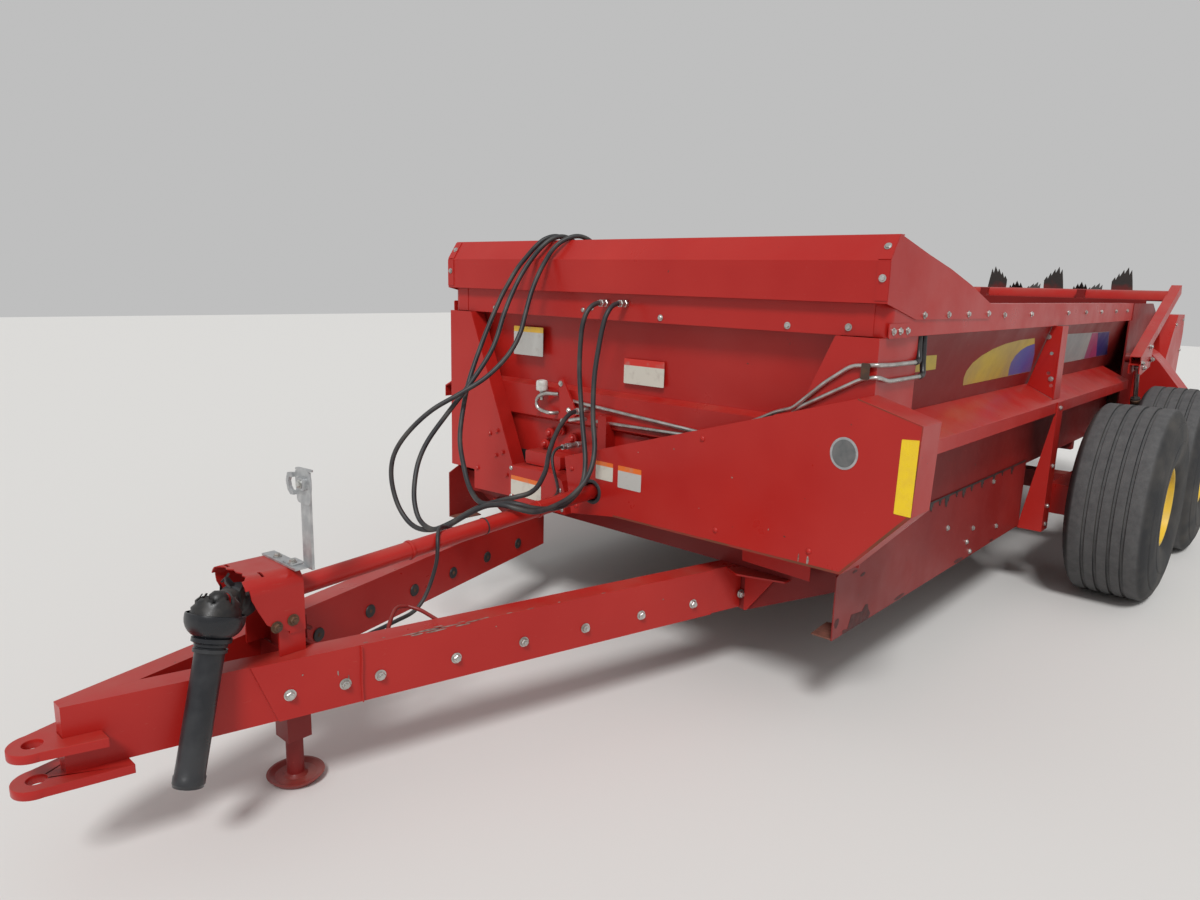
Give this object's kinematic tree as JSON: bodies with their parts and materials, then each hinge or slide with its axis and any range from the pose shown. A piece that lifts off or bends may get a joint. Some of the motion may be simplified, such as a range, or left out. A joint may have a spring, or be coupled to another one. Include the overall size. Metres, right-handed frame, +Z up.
{
  "type": "manure spreader",
  "caption": "Tandem axle manure spreader with hydraulic end gate, rear beaters, tongue, parking jack and hanging drive shaft",
  "frame": {"origin": "bottom centre of the machine's bounding box, on the ground", "axes": "+X forward to the hitch, along the longest side; +Y the machine's left; +Z up, along the shortest side"},
  "size_m": [7.773, 3.47, 1.82],
  "materials": {
    "red": "glossy, scratched and sun faded",
    "dark_red": "dull, worn, peeling to black in places",
    "yellow": "satin, dusty",
    "tyres": "worn, dusty",
    "black_plastic": "worn, dusty",
    "black_paint": "satin",
    "chain_steel": "rusty, greasy",
    "bright_steel": "dull plated",
    "galvanised": "dull galvanised",
    "boards": "dirty and worn",
    "hose_rubber": "matt, dusty"
  },
  "bodies": {
    "chassis": {"main_frame": "dark_red", "tongue": "red", "hitch_plates": "red", "jack_sleeve": "dark_red", "pto_stand": "red", "pto_hood": "red", "driveline": "red", "gearbox": "dark_red", "chain_shield": "red", "drive_chain": "chain_steel", "front_wall": "red", "front_wings": "red", "apron_cover": "red", "splash_guard": "red", "top_rail": "red", "side_walls": "dark_red", "ledges": "red", "skirts": "dark_red", "stakes": "red", "box_floor": "boards", "apron": "chain_steel", "rear_plates": "dark_red", "walking_beams": "red", "drive_case": "red", "side_shaft": "chain_steel", "hydraulic_pipes": "bright_steel", "hose_holder": "galvanised", "hose_a": "hose_rubber", "hose_b": "hose_rubber", "hose_c": "hose_rubber", "hose_d": "hose_rubber", "hose_ends": "bright_steel"},
    "wheel_fl": {"tyre_fl": "tyres", "rim_fl": "yellow"},
    "wheel_fr": {"tyre_fr": "tyres", "rim_fr": "yellow"},
    "wheel_rl": {"tyre_rl": "tyres", "rim_rl": "yellow"},
    "wheel_rr": {"tyre_rr": "tyres", "rim_rr": "yellow"},
    "jack": {"jack_leg": "dark_red"},
    "loose_shaft": {"pto_shaft": "black_plastic"},
    "gate": {"gate_panel": "dark_red", "gate_arms": "red"},
    "barrel_left": {"barrel_left": "black_paint"},
    "barrel_right": {"barrel_right": "black_paint"},
    "rod_left": {"rod_left": "bright_steel"},
    "rod_right": {"rod_right": "bright_steel"},
    "upper_beater": {"upper_beater": "dark_red"},
    "lower_beater": {"lower_beater": "dark_red"}
  },
  "joints": [
    {"name": "spin_fl", "type": "hinge", "parent": "chassis", "child": "wheel_fl", "pos_m": [-0.8665, 1.525, 0.5155], "axis": [0, 1, 0], "continuous": true},
    {"name": "spin_fr", "type": "hinge", "parent": "chassis", "child": "wheel_fr", "pos_m": [-0.8665, -1.525, 0.5155], "axis": [0, 1, 0], "continuous": true},
    {"name": "spin_rl", "type": "hinge", "parent": "chassis", "child": "wheel_rl", "pos_m": [-2.1415, 1.525, 0.5155], "axis": [0, 1, 0], "continuous": true},
    {"name": "spin_rr", "type": "hinge", "parent": "chassis", "child": "wheel_rr", "pos_m": [-2.1415, -1.525, 0.5155], "axis": [0, 1, 0], "continuous": true},
    {"name": "spin_upper", "type": "hinge", "parent": "chassis", "child": "upper_beater", "pos_m": [-3.4665, 0, 1.4], "axis": [0, 1, 0], "continuous": true},
    {"name": "spin_lower", "type": "hinge", "parent": "chassis", "child": "lower_beater", "pos_m": [-3.3715, 0, 0.712], "axis": [0, 1, 0], "continuous": true},
    {"name": "jack_slide", "type": "slide", "parent": "chassis", "child": "jack", "axis": [0, 0, 1], "range_m": [0, 0.12]},
    {"name": "shaft_swing", "type": "hinge", "parent": "chassis", "child": "loose_shaft", "pos_m": [3.3915, 0.12, 0.711], "axis": [0, -0.9891, -0.147], "range_deg": [0, 65]},
    {"name": "gate_lift", "type": "hinge", "parent": "chassis", "child": "gate", "pos_m": [-2.2915, 0, 1.19], "axis": [0, 1, 0], "range_deg": [0, 50]},
    {"name": "barrel_tilt_left", "type": "hinge", "parent": "chassis", "child": "barrel_left", "pos_m": [-2.3015, 1.272, 0.64], "axis": [0, 1, 0], "range_deg": [-5.63, 0]},
    {"name": "rod_travel_left", "type": "slide", "parent": "barrel_left", "child": "rod_left", "axis": [0.3682, 0, 0.9297], "range_m": [-0.1676, 0]},
    {"name": "barrel_tilt_right", "type": "hinge", "parent": "chassis", "child": "barrel_right", "pos_m": [-2.3015, -1.272, 0.64], "axis": [0, 1, 0], "range_deg": [-5.63, 0]},
    {"name": "rod_travel_right", "type": "slide", "parent": "barrel_right", "child": "rod_right", "axis": [0.3682, 0, 0.9297], "range_m": [-0.1676, 0]}
  ],
  "couplings": [
    {"joint": "barrel_tilt_left", "follows": "gate_lift", "ratio": -0.1125},
    {"joint": "rod_travel_left", "follows": "gate_lift", "m_per_rad": -0.192},
    {"joint": "barrel_tilt_right", "follows": "gate_lift", "ratio": -0.1125},
    {"joint": "rod_travel_right", "follows": "gate_lift", "m_per_rad": -0.192}
  ]
}
